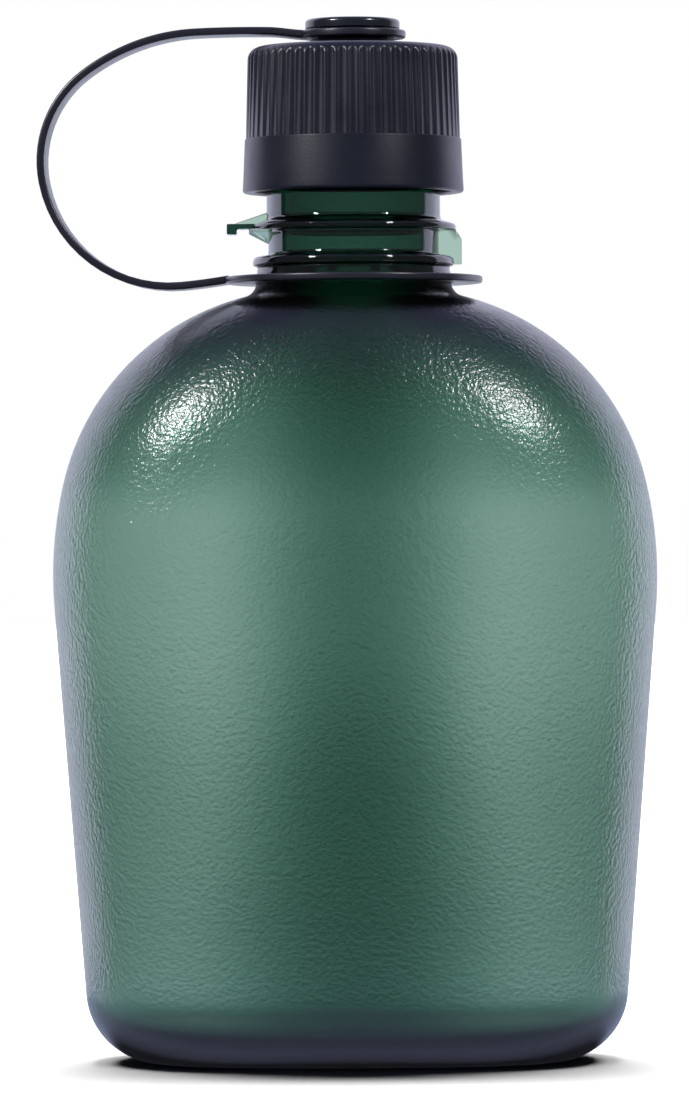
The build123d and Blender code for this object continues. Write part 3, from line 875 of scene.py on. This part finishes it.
def tinted_plastic(name):
    """Green see-through plastic, coloured by the wall's depth, with a rough moulded skin on the body."""
    material, nodes, links, shader = new_material(name)
    shader.inputs["Base Color"].default_value = (1, 1, 1, 1)
    shader.inputs["Transmission Weight"].default_value = 1.0
    shader.inputs["IOR"].default_value = PLASTIC_IOR
    absorb = nodes.new("ShaderNodeVolumeAbsorption")
    absorb.inputs["Color"].default_value = PLASTIC_TINT
    absorb.inputs["Density"].default_value = PLASTIC_DENSITY
    links.new(absorb.outputs["Volume"], nodes["Material Output"].inputs["Volume"])
    place = object_place(nodes)
    attribute = nodes.new("ShaderNodeAttribute")
    attribute.attribute_name = "skin"
    skin = attribute.outputs["Fac"]
    split = nodes.new("ShaderNodeSeparateXYZ")
    links.new(place, split.inputs["Vector"])
    low = map_range(nodes, links, split.outputs["Z"], *SKIN_FROM, 0.0, 1.0)
    high = map_range(nodes, links, split.outputs["Z"], *SKIN_TO, 1.0, 0.0)
    belt = math_node(nodes, links, "MULTIPLY", low, high)
    share = math_node(nodes, links, "MULTIPLY", belt, skin)
    height = math_node(nodes, links, "MULTIPLY", noise(nodes, links, place, SKIN_SCALE, 1.5), share)
    links.new(bump(nodes, links, height, 1.0, SKIN_DEPTH), shader.inputs["Normal"])
    rough = map_range(nodes, links, skin, 0.0, 1.0, CLEAR_ROUGHNESS, SKIN_ROUGHNESS)
    links.new(rough, shader.inputs["Roughness"])
    return material


def moulded_black(name, colour, rough, scale=1600.0, grain=0.15, shine=0.35):
    """Black moulded plastic with a fine satin grain and slightly uneven gloss."""
    material, nodes, links, shader = new_material(name)
    place = object_place(nodes)
    cloud = noise(nodes, links, place, CLOUD_SCALE, 3.0)
    dark, light = [(*[c * shade for c in colour], 1) for shade in CLOUD_SHADES]
    links.new(colour_mix(nodes, links, cloud, dark, light), shader.inputs["Base Color"])
    smoothest, roughest = [rough + change for change in CLOUD_GLOSS]
    gloss = map_range(nodes, links, cloud, *CLOUD_SPAN, smoothest, roughest)
    links.new(gloss, shader.inputs["Roughness"])
    grains = noise(nodes, links, place, scale, 2.0)
    links.new(bump(nodes, links, grains, grain, FINE_BUMP), shader.inputs["Normal"])
    shader.inputs["Specular IOR Level"].default_value = shine
    return material


def foam(name):
    """The liner's pale foam, with fine cells."""
    material, nodes, links, shader = new_material(name)
    cells = nodes.new("ShaderNodeTexVoronoi")
    cells.inputs["Scale"].default_value = FOAM_SCALE
    links.new(object_place(nodes), cells.inputs["Vector"])
    inside = cells.outputs["Distance"]
    links.new(colour_mix(nodes, links, inside, *FOAM_COLOURS), shader.inputs["Base Color"])
    shader.inputs["Roughness"].default_value = FOAM_ROUGHNESS
    links.new(bump(nodes, links, inside, FOAM_BUMP, FINE_BUMP), shader.inputs["Normal"])
    return material


# ---- Studio ---------------------------------------------------------------------------------------
def lamp(name, around, up, power):
    """A small square lamp in front of the bottle, aimed at its shoulder."""
    light = bpy.data.lights.new(name, "AREA")
    light.shape = "RECTANGLE"
    light.size, light.size_y = LAMP_SIZE
    light.energy = power
    turn, rise = radians(around), radians(up)
    away = Vector((sin(turn) * cos(rise), -cos(turn) * cos(rise), sin(rise)))
    piece = bpy.data.objects.new(name, light)
    piece.location = LAMP_AIM + away * LAMP_DISTANCE
    piece.rotation_euler = away.to_track_quat("Z", "Y").to_euler()
    piece.visible_camera = piece.visible_transmission = False
    bpy.context.scene.collection.objects.link(piece)
    return piece


def back_to_front(nodes, links, direction, stops):
    """Colour by how far back a direction points, through a ramp, and the direction's slope."""
    split = nodes.new("ShaderNodeSeparateXYZ")
    links.new(direction, split.inputs["Vector"])
    ramp = nodes.new("ShaderNodeValToRGB")
    ramp.color_ramp.elements.remove(ramp.color_ramp.elements[1])
    for i, (place, colour) in enumerate(stops):
        stop = ramp.color_ramp.elements[0] if i == 0 else ramp.color_ramp.elements.new(place)
        stop.position, stop.color = place, (*colour, 1)
    links.new(map_range(nodes, links, split.outputs["Y"], -1, 1, 0, 1), ramp.inputs["Fac"])
    return ramp.outputs["Color"], split.outputs["Z"]


def world_light():
    """The room that the surfaces mirror: white behind, dim in front, dim blue above and below."""
    world = bpy.data.worlds.new("room")
    bpy.context.scene.world = world
    world.use_nodes = True
    nodes, links = world.node_tree.nodes, world.node_tree.links
    place = nodes.new("ShaderNodeTexCoord")
    colour, height = back_to_front(nodes, links, place.outputs["Generated"], ROOM)
    steep = math_node(nodes, links, "ABSOLUTE", height)
    upright = map_range(nodes, links, steep, *CEILING_SLOPES, 0.0, 1.0)
    room = colour_mix(nodes, links, upright, colour, (*CEILING, 1))
    links.new(room, nodes["Background"].inputs["Color"])


def show_only_to(piece, kind):
    """Hides a piece from every kind of ray but one."""
    for ray in ("camera", "diffuse", "glossy", "transmission", "shadow"):
        setattr(piece, "visible_" + ray, ray == kind)


def dome(name, shows_to, stops):
    """A glowing dome round the scene, all white without stops, which one kind of ray alone sees."""
    lifts = [radians(a) for a in range(-90, 91, 10)]
    outline = [(DOME_RADIUS * cos(lift), DOME_RADIUS * sin(lift)) for lift in lifts]
    material, nodes, links, glow = glow_material(name)
    if stops:
        way = nodes.new("ShaderNodeVectorMath")
        way.operation = "NORMALIZE"
        links.new(object_place(nodes), way.inputs[0])
        colour, slope = back_to_front(nodes, links, way.outputs["Vector"], stops)
        links.new(colour, glow.inputs["Color"])
        strength = map_range(nodes, links, slope, *BACKLIGHT_LOW, BACKLIGHT_LOW_SHARE, 1.0)
        links.new(strength, glow.inputs["Strength"])
    piece = mesh_object(name, *ring_mesh(circles(outline, DOME_AROUND)), [material])
    show_only_to(piece, shows_to)


def level_square(name, size, material):
    """A square at the floor's height, reaching the given size each way from the middle."""
    corners = [(-size, -size, 0), (size, -size, 0), (size, size, 0), (-size, size, 0)]
    return mesh_object(name, corners, [(0, 1, 2, 3)], [material])


def floor():
    """A floor that only the camera sees, white under soft suns of its own, which the bottle shades.

    Gives back the collection that keeps the other lamps off the floor.
    """
    material, _, _, shader = new_material("floor_white")
    shader.inputs["Base Color"].default_value = (FLOOR_ALBEDO, FLOOR_ALBEDO, FLOOR_ALBEDO, 1)
    shader.inputs["Roughness"].default_value = 1.0
    shader.inputs["Specular IOR Level"].default_value = 0.0
    piece = level_square("floor", DOME_RADIUS, material)
    show_only_to(piece, "camera")
    only_floor = bpy.data.collections.new("only_floor")
    only_floor.objects.link(piece)
    for name, (around, tilt, spread, strength) in FLOOR_SUNS.items():
        sun = bpy.data.objects.new(name, bpy.data.lights.new(name, "SUN"))
        sun.data.energy, sun.data.angle = strength, radians(spread)
        sun.rotation_euler = (-radians(tilt), 0, -radians(around))
        sun.light_linking.receiver_collection = only_floor
        bpy.context.scene.collection.objects.link(sun)
    all_but_floor = bpy.data.collections.new("all_but_floor")
    all_but_floor.objects.link(piece)
    all_but_floor.collection_objects[0].light_linking.link_state = "EXCLUDE"
    return all_but_floor


def painted_table_sheet(name, shows_to, colour):
    """A glowing sheet with the table painted on it, as the bottle mirrors it or sees it through its base:
    painted shadow at the foot, then dim.
    """
    material, nodes, links, glow = glow_material(name)
    glow.inputs["Color"].default_value = (*colour, 1)
    foot_wide, foot_deep = BODY_WIDTH / 2 - WIDTH_CORNER, BODY_DEPTH / 2 - DEPTH_CORNER
    foot = nodes.new("ShaderNodeVectorMath")
    foot.operation = "DIVIDE"
    foot.inputs[1].default_value = (foot_wide * MM, foot_deep * MM, 1)
    links.new(object_place(nodes), foot.inputs[0])
    out = nodes.new("ShaderNodeVectorMath")
    out.operation = "LENGTH"
    links.new(foot.outputs["Vector"], out.inputs[0])
    # painted shadow: the sheet's glow dies out inside the foot's outline
    strength = map_range(nodes, links, out.outputs["Value"], *FOOT_PAINTED_SHADOW, 0.0, 1.0)
    links.new(strength, glow.inputs["Strength"])
    piece = level_square(name, TABLE_SIZE, material)
    show_only_to(piece, shows_to)


def studio():
    """A white floor and backdrop, a room that is white behind the bottle and dim in front, and two lamps."""
    bpy.context.scene.view_settings.view_transform = "Standard"
    world_light()
    dome("backdrop", "camera", None)
    dome("backlight", "transmission", BACKLIGHT)
    all_but_floor = floor()
    # glowing sheets with a painted reflection of the table and a painted shadow round the foot
    painted_table_sheet("painted_table_reflection", "glossy", TABLE_PAINTED_REFLECTION)
    painted_table_sheet("painted_table_seen_through", "transmission", TABLE_PAINTED_THROUGH_BASE)
    for name, (around, up, power) in LAMPS.items():
        lamp(name, around, up, power).light_linking.receiver_collection = all_but_floor


def camera():
    lens = bpy.data.cameras.new("camera")
    lens.sensor_width = SENSOR_WIDTH
    lens.lens = lens.sensor_width * CAMERA_DISTANCE / FRAME_HEIGHT
    lens.clip_end = CLIP_END
    eye = bpy.data.objects.new("camera", lens)
    eye.location = (CAMERA_SIDE, -CAMERA_DISTANCE, CAMERA_HEIGHT)
    eye.rotation_euler = (radians(90), CAMERA_ROLL, 0)
    bpy.context.scene.collection.objects.link(eye)
    bpy.context.scene.camera = eye


# ---- Scene ----------------------------------------------------------------------------------------
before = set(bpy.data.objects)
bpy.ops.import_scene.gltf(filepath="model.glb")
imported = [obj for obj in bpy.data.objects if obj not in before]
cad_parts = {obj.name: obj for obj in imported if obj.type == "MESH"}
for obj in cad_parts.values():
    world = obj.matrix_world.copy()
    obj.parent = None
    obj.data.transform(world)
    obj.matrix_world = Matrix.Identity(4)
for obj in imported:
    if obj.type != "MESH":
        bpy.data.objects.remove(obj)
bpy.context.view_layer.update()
camera()
bottle(tinted_plastic("green_plastic"))
cap(moulded_black("cap_black", (0.005, 0.006, 0.014), rough=0.36))
button(moulded_black("button_black", (0.007, 0.009, 0.014), rough=0.18, scale=900.0, grain=0.03, shine=0.5))
tether(moulded_black("tether_black", (0.010, 0.010, 0.017), rough=0.3, grain=0.08, shine=0.5))
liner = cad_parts["cap_liner"]
liner.data.materials.clear()
liner.data.materials.append(foam("liner_foam"))
studio()
